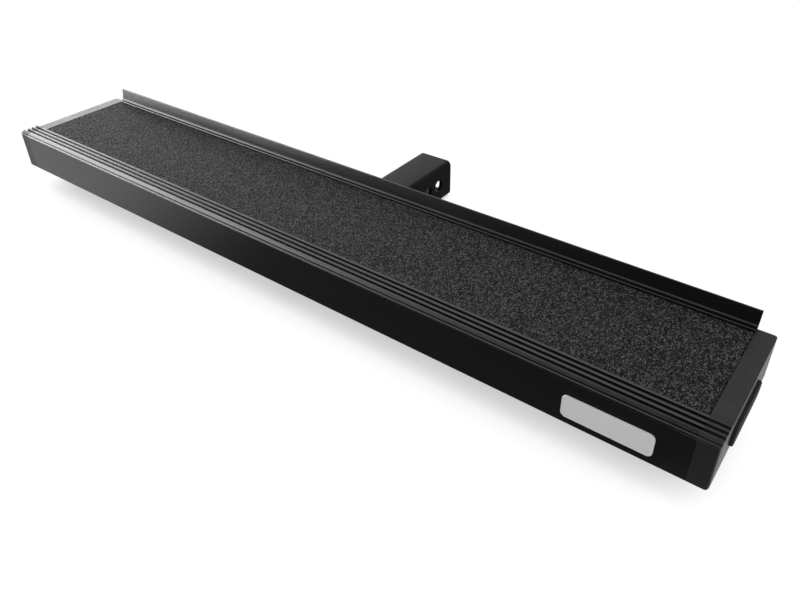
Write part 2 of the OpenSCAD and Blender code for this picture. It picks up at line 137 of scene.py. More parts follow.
class HitchStepStudio(bpy.types.PropertyGroup):
    """Lamps, surround and camera of the studio."""

    key_power: bpy.props.FloatProperty(
        name="Left lamp", description="Power of the long, low lamp on the left",
        default=140, min=0, unit="POWER")
    top_power: bpy.props.FloatProperty(
        name="Overhead lamp", description="Power of the wide overhead lamp",
        default=12, min=0, unit="POWER")
    surround: bpy.props.FloatProperty(
        name="Surround", description="Level of the soft light from all round",
        default=0.5, min=0, max=2)
    lens: bpy.props.FloatProperty(
        name="Lens", description="Focal length of the camera, in millimetres",
        default=33.05, min=10, max=200)


# Helpers for meshes

def ring_piece(name, stacks, material, crease=35):
    """Closed surfaces, each through a stack of closed rings.

    Each stack is an array of shape (rows, points, 3). A point is joined to its neighbours on the same ring
    and on the next one, and the first and last rings are closed by one flat face each. Edges sharper than
    the crease angle, in degrees, stay sharp.
    """
    faces = []
    first = 0
    for rings in stacks:
        rows, count = rings.shape[:2]
        index = first + np.arange(rows * count).reshape(rows, count)
        ahead = np.roll(index, -1, axis=1)
        sides = np.stack([index[:-1], ahead[:-1], ahead[1:], index[1:]], axis=-1).reshape(-1, 4)
        faces += sides.tolist() + [index[0, ::-1].tolist(), index[-1].tolist()]
        first += rows * count
    points = np.concatenate([rings.reshape(-1, 3) for rings in stacks])
    mesh = bpy.data.meshes.new(name)
    mesh.from_pydata(points.tolist(), [], faces)
    edit = bmesh.new()
    edit.from_mesh(mesh)
    bmesh.ops.recalc_face_normals(edit, faces=edit.faces)
    edit.to_mesh(mesh)
    edit.free()
    return place_piece(name, mesh, material, crease)


def place_piece(name, mesh, material, crease):
    """Puts a finished mesh into the scene as a piece of the part."""
    mesh.shade_smooth()
    mesh.set_sharp_from_angle(angle=math.radians(crease))
    mesh.materials.append(material)
    piece = bpy.data.objects.new(name, mesh)
    bpy.context.scene.collection.objects.link(piece)
    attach(piece, BODY)
    return piece


def rounded_outline(width, height, radius, inset, corner_points):
    """Points of a rectangle with round corners, drawn in by inset.

    Each quarter turn is an arc of radius minus inset round its corner's centre, and the straight sides are
    the gaps between the arcs. Returns an array of shape (4 x corner_points, 2) about the origin.
    """
    turn = np.linspace(0, math.pi / 2, corner_points)
    quarter = np.arange(4)[:, None] * math.pi / 2 + turn
    centre_x = np.array([1, -1, -1, 1])[:, None] * (width / 2 - radius)
    centre_z = np.array([1, 1, -1, -1])[:, None] * (height / 2 - radius)
    least_radius = 0.05 * MM
    reach = max(radius - inset, least_radius)
    outline = [centre_x + reach * np.cos(quarter), centre_z + reach * np.sin(quarter)]
    return np.stack(outline, axis=-1).reshape(-1, 2)


# Helpers for materials

def add_node(tree, kind, inputs=None, **settings):
    """Adds one shader node. Each input takes a plain value or another node's output."""
    item = tree.nodes.new(kind)
    for label, value in settings.items():
        setattr(item, label, value)
    for label, value in (inputs or {}).items():
        if isinstance(value, bpy.types.NodeSocket):
            tree.links.new(value, item.inputs[label])
        else:
            item.inputs[label].default_value = value
    return item


def new_group(name, inputs, outputs):
    """Empty shader node group with named float, vector or colour sockets."""
    kinds = {"float": "NodeSocketFloat", "vector": "NodeSocketVector", "colour": "NodeSocketColor"}
    group = bpy.data.node_groups.new(name, "ShaderNodeTree")
    for label, kind, value in inputs:
        socket = group.interface.new_socket(label, in_out="INPUT", socket_type=kinds[kind])
        socket.default_value = value
    for label, kind in outputs:
        group.interface.new_socket(label, in_out="OUTPUT", socket_type=kinds[kind])
    return group, add_node(group, "NodeGroupInput"), add_node(group, "NodeGroupOutput")


def soft_edge_group():
    """Shared effect: sharp edges catch light as if rounded, and an edge mask for wear.

    Normal is the surface normal averaged over Radius. Edge grows with the angle between that and the true
    normal.
    """
    group, given, result = new_group(
        "Soft edges", [("Radius", "float", 0.0003), ("Wear", "float", 0.5)],
        [("Normal", "vector"), ("Edge", "float")])
    rounded = add_node(group, "ShaderNodeBevel", {"Radius": given.outputs["Radius"]}, samples=4)
    true = add_node(group, "ShaderNodeNewGeometry")
    agree = add_node(group, "ShaderNodeVectorMath",
                     {0: rounded.outputs[0], 1: true.outputs["Normal"]}, operation="DOT_PRODUCT")
    edge = add_node(group, "ShaderNodeMapRange", {
        "Value": agree.outputs["Value"], "From Min": 0.99, "From Max": 0.75,
        "To Min": 0.0, "To Max": given.outputs["Wear"]})
    group.links.new(rounded.outputs[0], result.inputs["Normal"])
    group.links.new(edge.outputs["Result"], result.inputs["Edge"])
    return group


def grain_group():
    """Shared effect: the small waviness of a sprayed or moulded skin.

    Height is fine noise plus a fifth of coarse noise. Tone is a slow patchy value about 0.5.
    """
    group, given, result = new_group(
        "Surface grain", [("Scale", "float", 900.0), ("Stretch", "vector", (1.0, 1.0, 1.0))],
        [("Height", "float"), ("Tone", "float")])
    place = add_node(group, "ShaderNodeTexCoord")
    stretched = add_node(group, "ShaderNodeVectorMath",
                         {0: place.outputs["Object"], 1: given.outputs["Stretch"]}, operation="MULTIPLY")
    fine = add_node(group, "ShaderNodeTexNoise",
                    {"Vector": stretched.outputs[0], "Scale": given.outputs["Scale"], "Detail": 2.0})
    coarse_scale = add_node(group, "ShaderNodeMath",
                            {0: given.outputs["Scale"], 1: 0.12}, operation="MULTIPLY")
    coarse = add_node(group, "ShaderNodeTexNoise",
                      {"Vector": stretched.outputs[0], "Scale": coarse_scale.outputs[0], "Detail": 3.0})
    height = add_node(group, "ShaderNodeMath",
                      {0: coarse.outputs[0], 1: 0.2, 2: fine.outputs[0]}, operation="MULTIPLY_ADD")
    patches = add_node(group, "ShaderNodeTexNoise",
                       {"Vector": stretched.outputs[0], "Scale": 23.0, "Detail": 4.0, "Roughness": 0.6})
    group.links.new(height.outputs[0], result.inputs["Height"])
    group.links.new(patches.outputs[0], result.inputs["Tone"])
    return group


def dust_group():
    """Shared effect: fine dust on faces that look up, broken into patches."""
    group, given, result = new_group(
        "Settled dust", [("Amount", "float", 0.3), ("Scale", "float", 60.0)], [("Mask", "float")])
    place = add_node(group, "ShaderNodeTexCoord")
    true = add_node(group, "ShaderNodeNewGeometry")
    parts = add_node(group, "ShaderNodeSeparateXYZ", {0: true.outputs["Normal"]})
    up = add_node(group, "ShaderNodeMapRange",
                  {"Value": parts.outputs["Z"], "From Min": 0.3, "From Max": 1.0})
    noise = add_node(group, "ShaderNodeTexNoise",
                     {"Vector": place.outputs["Object"], "Scale": given.outputs["Scale"], "Detail": 6.0,
                      "Roughness": 0.7})
    broken = add_node(group, "ShaderNodeMapRange",
                      {"Value": noise.outputs[0], "From Min": 0.4, "From Max": 0.75})
    mask = add_node(group, "ShaderNodeMath", {0: up.outputs[0], 1: broken.outputs[0]}, operation="MULTIPLY")
    scaled = add_node(group, "ShaderNodeMath",
                      {0: mask.outputs[0], 1: given.outputs["Amount"]}, operation="MULTIPLY")
    group.links.new(scaled.outputs[0], result.inputs["Mask"])
    return group


def shared_group(name):
    """The node group of that name, made on first use."""
    makers = {"Soft edges": soft_edge_group, "Surface grain": grain_group, "Settled dust": dust_group}
    found = bpy.data.node_groups.get(name)
    return found or makers[name]()


def mixed_colour(tree, amount, low, high):
    """Colour between low and high, by a mask between 0 and 1."""
    mix = tree.nodes.new("ShaderNodeMix")
    mix.data_type = "RGBA"
    tree.links.new(amount, mix.inputs[0])
    for socket, value in ((mix.inputs[6], low), (mix.inputs[7], high)):
        if isinstance(value, bpy.types.NodeSocket):
            tree.links.new(value, socket)
        else:
            socket.default_value = value
    return mix.outputs[2]


def greyer(colour, amount):
    """A colour moved towards light grey, with alpha, for dust and worn edges."""
    return tuple(channel + (0.5 - channel) * amount for channel in colour[:3]) + (1.0,)


def skin_material(name, colour, roughness, grain_scale, grain_depth, stretch=(1, 1, 1), specular=0.5,
                  metallic=0.0, tone_spread=0.25, wear=0.05, dust=0.05, rough_spread=0.1):
    """Coat, plastic, rubber or plating: a base colour with patches, dust, worn edges and a bumpy skin."""
    existing = bpy.data.materials.get(name)
    if existing:
        return existing
    sizes = bpy.context.scene.hitch_step_sizes
    material = bpy.data.materials.new(name)
    material.use_nodes = True
    tree = material.node_tree
    shader = tree.nodes["Principled BSDF"]
    edges = add_node(tree, "ShaderNodeGroup", node_tree=shared_group("Soft edges"))
    edges.inputs["Radius"].default_value = sizes.edge_radius
    edges.inputs["Wear"].default_value = wear
    grain = add_node(tree, "ShaderNodeGroup", node_tree=shared_group("Surface grain"))
    grain.inputs["Scale"].default_value = grain_scale
    grain.inputs["Stretch"].default_value = stretch
    settled = add_node(tree, "ShaderNodeGroup", node_tree=shared_group("Settled dust"))
    settled.inputs["Amount"].default_value = dust
    dark = tuple(channel * (1 - tone_spread) for channel in colour) + (1.0,)
    light = tuple(min(channel * (1 + tone_spread), 1) for channel in colour) + (1.0,)
    base = mixed_colour(tree, grain.outputs["Tone"], dark, light)
    worn = mixed_colour(tree, edges.outputs["Edge"], base, greyer(colour, 0.4))
    dusty = mixed_colour(tree, settled.outputs["Mask"], worn, greyer(colour, 0.35))
    tree.links.new(dusty, shader.inputs["Base Color"])
    rough = add_node(tree, "ShaderNodeMapRange", {
        "Value": grain.outputs["Tone"], "From Min": 0.25, "From Max": 0.75,
        "To Min": roughness - rough_spread / 2, "To Max": roughness + rough_spread / 2})
    tree.links.new(rough.outputs["Result"], shader.inputs["Roughness"])
    bump = add_node(tree, "ShaderNodeBump", {
        "Height": grain.outputs["Height"], "Normal": edges.outputs["Normal"],
        "Distance": grain_depth, "Strength": 1.0})
    tree.links.new(bump.outputs[0], shader.inputs["Normal"])
    shader.inputs["Specular IOR Level"].default_value = specular
    shader.inputs["Metallic"].default_value = metallic
    return material


def colours():
    """The colour settings of the scene."""
    return bpy.context.scene.hitch_step_colours


def deck_coat_material():
    """Satin black powder coat over extruded aluminium, with faint die lines along the board."""
    return skin_material("deck_powder_coat", colours().deck_coat, roughness=0.3, grain_scale=700.0,
                         grain_depth=0.05 * MM, stretch=(0.12, 1, 1), specular=0.5)


def cap_material():
    """Black moulded plastic with an even, fine spark grain."""
    return skin_material("cap_moulded_plastic", colours().cap_plastic, roughness=0.4, grain_scale=1500.0,
                         grain_depth=0.12 * MM, tone_spread=0.15, specular=0.25, wear=0.0)


def pad_material():
    """Smooth black rubber."""
    return skin_material("pad_rubber", colours().pad_rubber, roughness=0.5, grain_scale=500.0,
                         grain_depth=0.04 * MM, specular=0.4, wear=0.0)


def tube_coat_material():
    """Satin black powder coat over hot-rolled steel."""
    return skin_material("tube_powder_coat", colours().tube_coat, roughness=0.4, grain_scale=420.0,
                         grain_depth=0.09 * MM, specular=0.12)


def zinc_material():
    """Bright zinc plating, slightly clouded."""
    return skin_material("zinc_plating", colours().zinc, roughness=0.32, grain_scale=800.0,
                         grain_depth=0.03 * MM, metallic=1.0, wear=0.0, dust=0.02)


def silver_material():
    """Satin silver of the bare plate, with fine lines along it."""
    return skin_material("plate_satin_silver", colours().plate_silver, roughness=0.42, grain_scale=2600.0,
                         grain_depth=0.012 * MM, stretch=(0.02, 1, 1), metallic=0.1, tone_spread=0.04,
                         wear=0.0, dust=0.0)


def grit_material():
    """Mineral grit bonded in black rubber: paler grain tips over dark hollows.

    Each small cell of the pattern has a random tone and falls off from its middle. The level of the grain
    that it lies on then lifts or lowers it: painted shade, darker in the low places of the grit and along
    its rim.
    """
    existing = bpy.data.materials.get("grit_tread")
    if existing:
        return existing
    material = bpy.data.materials.new("grit_tread")
    material.use_nodes = True
    tree = material.node_tree
    shader = tree.nodes["Principled BSDF"]
    place = add_node(tree, "ShaderNodeTexCoord")
    shape = add_node(tree, "ShaderNodeVectorMath",
                     {0: place.outputs["Object"], 1: (1.0, 0.78, 1.0)}, operation="MULTIPLY")
    level = add_node(tree, "ShaderNodeAttribute", attribute_name="grain_level")
    tone = add_node(tree, "ShaderNodeAttribute", attribute_name="grain_tone")
    cells = add_node(tree, "ShaderNodeTexVoronoi", {"Vector": shape.outputs[0], "Scale": 850.0})
    parts = add_node(tree, "ShaderNodeSeparateColor", {0: cells.outputs["Color"]})
    random = add_node(tree, "ShaderNodeMath", {0: parts.outputs[0], 1: 0.8}, operation="MULTIPLY")
    mixed = add_node(tree, "ShaderNodeMath",
                     {0: tone.outputs["Fac"], 1: 0.2, 2: random.outputs[0]}, operation="MULTIPLY_ADD")
    spread = add_node(tree, "ShaderNodeMapRange",
                      {"Value": mixed.outputs[0], "From Min": 0.32, "From Max": 0.82})
    dome = add_node(tree, "ShaderNodeMapRange", {
        "Value": cells.outputs["Distance"], "From Min": 0.7, "From Max": 0.15,
        "To Min": 0.1, "To Max": 1.0})
    shaped = add_node(tree, "ShaderNodeMath",
                      {0: dome.outputs[0], 1: spread.outputs[0]}, operation="MULTIPLY")
    # Painted shade: the lower the grit under a point, the darker its colour. The grit's level falls to
    # nothing along the rim, so the rim is darkest.
    painted_low_shade = add_node(tree, "ShaderNodeMapRange", {
        "Value": level.outputs["Fac"], "From Max": 0.5, "To Min": 0.25, "To Max": 1.05})
    grit_tone_and_shade = add_node(tree, "ShaderNodeMath",
                   {0: shaped.outputs[0], 1: painted_low_shade.outputs[0]}, operation="MULTIPLY")
    low = tuple(colours().grit_low) + (1.0,)
    high = tuple(colours().grit_high) + (1.0,)
    tree.links.new(mixed_colour(tree, grit_tone_and_shade.outputs[0], low, high), shader.inputs["Base Color"])
    rough = add_node(tree, "ShaderNodeMapRange", {
        "Value": parts.outputs[1], "From Min": 0.0, "From Max": 1.0, "To Min": 0.55, "To Max": 0.85})
    tree.links.new(rough.outputs["Result"], shader.inputs["Roughness"])
    bump = add_node(tree, "ShaderNodeBump",
                    {"Height": dome.outputs[0], "Distance": 0.5 * MM, "Strength": 0.8})
    tree.links.new(bump.outputs[0], shader.inputs["Normal"])
    shader.inputs["Specular IOR Level"].default_value = 0.1
    return material


def facet_smoother():
    """Geometry nodes that weld a solid's loose triangles and shade its curved faces smooth."""
    name = "Smooth facets"
    found = bpy.data.node_groups.get(name)
    if found:
        return found
    group = bpy.data.node_groups.new(name, "GeometryNodeTree")
    group.interface.new_socket("Geometry", in_out="INPUT", socket_type="NodeSocketGeometry")
    group.interface.new_socket("Geometry", in_out="OUTPUT", socket_type="NodeSocketGeometry")
    given = add_node(group, "NodeGroupInput")
    result = add_node(group, "NodeGroupOutput")
    welded = add_node(group, "GeometryNodeMergeByDistance",
                      {"Geometry": given.outputs[0], "Distance": WELD_GAP})
    smooth = add_node(group, "GeometryNodeSetShadeSmooth",
                      {"Geometry": welded.outputs[0], "Shade Smooth": True}, domain="FACE")
    bend = add_node(group, "GeometryNodeInputMeshEdgeAngle")
    sharp = add_node(group, "FunctionNodeCompare", data_type="FLOAT", operation="GREATER_THAN")
    group.links.new(bend.outputs["Unsigned Angle"], sharp.inputs[0])
    sharp.inputs[1].default_value = math.radians(FACET_ANGLE)
    split = add_node(group, "GeometryNodeSetShadeSmooth", {
        "Geometry": smooth.outputs[0], "Selection": sharp.outputs[0], "Shade Smooth": False}, domain="EDGE")
    group.links.new(split.outputs[0], result.inputs[0])
    return group


def dress_node(name, material):
    """Gives a solid of the frame its material, and smooths its facets."""
    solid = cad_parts[name]
    solid.data.materials.clear()
    solid.data.materials.append(material)
    smoother = solid.modifiers.new("Smooth facets", "NODES")
    smoother.node_group = facet_smoother()


# Operators: one for each group of like pieces

class HITCHSTEP_OT_deck(bpy.types.Operator):
    """Coat the extruded board."""

    bl_idname = "hitch_step.deck"
    bl_label = "Coat the board"

    def execute(self, context):
        dress_node("deck_extrusion", deck_coat_material())
        return {"FINISHED"}


class HITCHSTEP_OT_tread(bpy.types.Operator):
    """Make the grit tread in the place of the plain mat."""

    bl_idname = "hitch_step.tread"
    bl_label = "Make the grit tread"

    def execute(self, context):
        sizes = context.scene.hitch_step_sizes
        foot_drop = 0.35 * MM
        low, high = (np.array(corner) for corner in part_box("tread_mat"))
        columns = int(round((high[0] - low[0]) / sizes.grit_step)) + 1
        rows = int(round((high[1] - low[1]) / sizes.grit_step)) + 1
        x = np.linspace(low[0], high[0], columns)
        y = np.linspace(low[1], high[1], rows)
        level, tone = self.grain_level(x, y, sizes.grain_pitch)
        inside = np.minimum.outer(np.minimum(x - low[0], high[0] - x), np.minimum(y - low[1], high[1] - y))
        rim = np.clip(inside / sizes.grit_step, 0, 1)
        # Levels the grit off at the rim. The same level, kept as the grain_level attribute, darkens the
        # grit's colour there: painted shade along the edge.
        level = level * rim
        top = high[2] - foot_drop + level * sizes.grain_height - sizes.rim_drop * (1 - rim)
        rings = np.zeros((columns, rows + 2, 3))
        rings[:, :, 0] = x[:, None]
        rings[:, 1:-1, 1] = y
        rings[:, 0, 1] = low[1]
        rings[:, -1, 1] = high[1]
        rings[:, 1:-1, 2] = top
        rings[:, (0, -1), 2] = low[2]
        tread = ring_piece("grit_tread", [rings], grit_material(), crease=180)
        # grain_level carries the height into the colour, as painted shade in the low places and along the
        # rim; grain_tone is the grains' own colour.
        for label, values in (("grain_level", level), ("grain_tone", tone)):
            marks = np.zeros((columns, rows + 2))
            marks[:, 1:-1] = values
            attribute = tread.data.attributes.new(label, "FLOAT", "POINT")
            attribute.data.foreach_set("value", marks.ravel())
        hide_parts("tread_mat")
        return {"FINISHED"}

    @staticmethod
    def grain_level(x, y, pitch):
        """Height and tone of the grit, 0 to 1, on the grid of x and y.

        Each square cell of the given pitch holds one grain at a random place, with a random height and
        radius. A grain is a dome: its height times one minus the square of the distance over its radius. The
        surface is the tallest dome over each point, looked up in the point's own cell and its eight
        neighbours, and the tone is that grain's own random value.
        """
        random = np.random.default_rng(7)
        cell_x = np.floor((x - x[0]) / pitch).astype(int) + 1
        cell_y = np.floor((y - y[0]) / pitch).astype(int) + 1
        shape = (cell_x[-1] + 2, cell_y[-1] + 2)
        place_x = random.random(shape)
        place_y = random.random(shape)
        tall = 0.35 + 0.65 * random.random(shape)
        wide = pitch * (0.55 + 0.4 * random.random(shape))
        shade = random.random(shape)
        level = np.zeros((len(x), len(y)))
        tone = np.zeros_like(level)
        for step_x in (-1, 0, 1):
            for step_y in (-1, 0, 1):
                across = (cell_x + step_x)[:, None]
                along = (cell_y + step_y)[None, :]
                centre_x = x[0] + (across - 1 + place_x[across, along]) * pitch
                centre_y = y[0] + (along - 1 + place_y[across, along]) * pitch
                distance = np.hypot(x[:, None] - centre_x, y[None, :] - centre_y)
                dome = tall[across, along] * (1 - (distance / wide[across, along]) ** 2)
                tone = np.where(dome > level, shade[across, along], tone)
                level = np.maximum(level, dome)
        return level, tone


class HITCHSTEP_OT_caps(bpy.types.Operator):
    """Finish the moulded end caps and the rubber end pads."""

    bl_idname = "hitch_step.caps"
    bl_label = "Finish the end caps and pads"

    def execute(self, context):
        for side in ("left", "right"):
            dress_node("end_cap_" + side, cap_material())
            dress_node("end_pad_" + side, pad_material())
        return {"FINISHED"}


class HITCHSTEP_OT_plate(bpy.types.Operator):
    """Make the bare plate on the fascia, with its rolled rim.

    The plate is a stack of round-cornered outlines, each drawn in by a step's first value and lifted by its
    second, a share of the plate's thickness: the square edge, the quarter round and crown of the rim, and
    the field inside it.
    """

    bl_idname = "hitch_step.plate"
    bl_label = "Make the bare plate"

    def execute(self, context):
        sizes = context.scene.hitch_step_sizes
        low, high = (np.array(corner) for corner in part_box("name_plate"))
        middle = (low + high) / 2
        thick = high[1] - low[1]
        rim = sizes.plate_rim
        square = 0.55
        field = 0.8
        steps = [(0.0, 0.0), (0.0, square)]
        turn = np.linspace(0.15, 1, 6) * math.pi / 2
        steps += [(0.3 * rim * (1 - math.cos(a)), square + (1 - square) * math.sin(a)) for a in turn]
        steps += [(0.75 * rim, 1.0), (rim, field), (1.2 * rim, field)]
        rings = []
        for inset, rise in steps:
            outline = rounded_outline(high[0] - low[0], high[2] - low[2], sizes.plate_radius, inset, 12)
            ring = np.zeros((len(outline), 3))
            ring[:, 0] = middle[0] + outline[:, 0]
            ring[:, 1] = high[1] - thick * rise
            ring[:, 2] = middle[2] + outline[:, 1]
            rings.append(ring)
        plate = ring_piece("bare_plate", [np.array(rings)], silver_material(), crease=50)
        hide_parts("name_plate")
        return {"FINISHED"}


class HITCHSTEP_OT_tube(bpy.types.Operator):
    """Coat the tube, the mounting plate and the gussets."""

    bl_idname = "hitch_step.tube"
    bl_label = "Coat the tube and its plate"

    def execute(self, context):
        names = ["hitch_tube", "mounting_plate"]
        names += ["gusset_%s_%s" % (end, side) for end in ("front", "rear") for side in ("left", "right")]
        for name in names:
            dress_node(name, tube_coat_material())
        return {"FINISHED"}


class HITCHSTEP_OT_welds(bpy.types.Operator):
    """Make the rippled weld beads along the tube."""

    bl_idname = "hitch_step.welds"
    bl_label = "Make the weld beads"

    def execute(self, context):
        sizes = context.scene.hitch_step_sizes
        low, high = (np.array(corner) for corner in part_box("weld_beads"))
        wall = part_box("hitch_tube")[1][0]
        long_beads = []
        for side in (1, -1):
            start = np.array([side * wall, low[1], high[2]])
            end = np.array([side * wall, high[1], high[2]])
            outward = np.array([side * (high[0] - wall), 0, 0])
            down = np.array([0, 0, low[2] - high[2]])
            long_beads.append(self.bead(start, end, outward, down, sizes.weld_ripple))
        beads = ring_piece("tube_weld_beads", long_beads, tube_coat_material(), crease=70)
        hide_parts("weld_beads")
        short_beads = []
        for place in ("front", "rear"):
            for side, label in ((1, "right"), (-1, "left")):
                short_beads += self.gusset_beads(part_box("gusset_%s_%s" % (place, label)), side, sizes)
        ring_piece("gusset_weld_beads", short_beads, tube_coat_material(), crease=70)
        return {"FINISHED"}

    def gusset_beads(self, box, side, sizes):
        """Fillets on both faces of a gusset, along the tube and the plate, clear of its inner corner."""
        low, high = (np.array(corner) for corner in box)
        inner = low[0] if side > 0 else high[0]
        outer = high[0] if side > 0 else low[0]
        leg = sizes.gusset_leg
        relief = 9.5 * MM
        end_gap = 1 * MM
        beads = []
        for face, away in ((low[1], -1), (high[1], 1)):
            across = np.array([0, away * leg, 0])
            beads.append(self.bead(
                np.array([inner, face, low[2] + end_gap]), np.array([inner, face, high[2] - relief]),
                np.array([side * leg, 0, 0]), across, sizes.weld_ripple))
            beads.append(self.bead(
                np.array([inner + side * relief, face, high[2]]),
                np.array([outer - side * end_gap, face, high[2]]),
                across, np.array([0, 0, -leg]), sizes.weld_ripple))
        return beads

    @staticmethod
    def bead(start, end, leg_a, leg_b, ripple):
        """Rings of one fillet bead in the corner that runs from start to end.

        A ring is a quarter ellipse from leg_a to leg_b, closed through the corner. Its size falls off by the
        square of the place within each ripple, and by a square root over the last few millimetres at either
        end. The lag carries the middle of a ripple ahead of its sides.
        """
        rings_per_ripple = 5
        lag = 0.35
        end_taper = 2 * MM
        length = np.linalg.norm(end - start)
        along = np.linspace(0, length, max(int(length / ripple * rings_per_ripple), 8))
        turn = np.linspace(0, math.pi / 2, 9)
        bow = np.sin(2 * turn)[None, :] * lag
        phase = (along[:, None] / ripple + bow) % 1
        ends = np.clip(np.minimum(along, length - along) / end_taper, 0, 1)[:, None]
        size = (1 - 0.2 * phase ** 2) * (0.25 + 0.75 * np.sqrt(ends))
        corner = start + (end - start) * (along / length)[:, None]
        share_a = (np.cos(turn) * size)[:, :, None]
        share_b = (np.sin(turn) * size)[:, :, None]
        arc = corner[:, None, :] + share_a * leg_a + share_b * leg_b
        return np.concatenate([arc, corner[:, None, :]], axis=1)


class HITCHSTEP_OT_fasteners(bpy.types.Operator):
    """Make the threaded deck bolts, and plate all the fasteners."""

    bl_idname = "hitch_step.fasteners"
    bl_label = "Make the fasteners"

    def execute(self, context):
        sizes = context.scene.hitch_step_sizes
        seat_over_plate = 3 * MM
        half_flat = 6.5 * MM
        low, high = (np.array(corner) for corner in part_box("deck_bolts"))
        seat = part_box("mounting_plate")[1][2] + seat_over_plate
        stacks = [self.bolt_rings(x, y, low[2], seat, high[2], half_flat, sizes.thread_pitch)
                  for x, y in self.bolt_places(low, high, half_flat)]
        bolts = ring_piece("threaded_bolts", stacks, zinc_material(), crease=32)
        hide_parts("deck_bolts")
        for name in ("cap_screws_left", "cap_screws_right", "flat_washers", "spring_washers", "hex_nuts"):
            dress_node(name, zinc_material())
        return {"FINISHED"}

    @staticmethod
    def bolt_places(low, high, half_flat):
        """Centres of the four bolts, from the box round all of them."""
        corner = half_flat / math.cos(math.pi / 6)
        across = (low[0] + corner, high[0] - corner)
        along = (low[1] + half_flat, high[1] - half_flat)
        return [(x, y) for x in across for y in along]

    @staticmethod
    def bolt_rings(x, y, foot, seat, top, half_flat, pitch):
        """Rings of one bolt, from its foot to the top of its head.

        Below the seat the radius is the shank's, less a V groove that turns once round in each pitch of
        height, and less a chamfer at the foot. Above it the radius is that of a hexagon, cut at both ends by
        a cone, which rounds its corners off.
        """
        shank = 3.9 * MM
        depth = 0.55 * MM
        chamfer = 0.7 * MM
        chamfer_rise = 0.8 * MM
        turn = np.linspace(0, 2 * math.pi, 49)[:-1]
        rise = np.arange(foot, seat, pitch / 8)
        wave = np.abs(((rise[:, None] / pitch - turn[None, :] / (2 * math.pi)) % 1) * 2 - 1)
        taper = np.clip((rise - foot) / chamfer_rise, 0, 1)[:, None]
        shank_radius = shank - depth * wave - chamfer * (1 - taper)
        head_rise = seat + (top - seat) * np.array([0, 0.001, 0.08, 0.5, 0.86, 0.94, 1.0])
        hexagon = half_flat / np.cos((turn + math.pi / 6) % (math.pi / 3) - math.pi / 6)
        cone = half_flat + np.array([-2.4, 0.35, 1.2, 3.0, 1.0, 0.45, -0.35]) * MM
        head_radius = np.minimum(hexagon[None, :], cone[:, None])
        radius = np.vstack([shank_radius, head_radius])
        heights = np.concatenate([rise, head_rise])
        rings = np.zeros(radius.shape + (3,))
        rings[:, :, 0] = x + radius * np.cos(turn)
        rings[:, :, 1] = y + radius * np.sin(turn)
        rings[:, :, 2] = heights[:, None]
        return rings


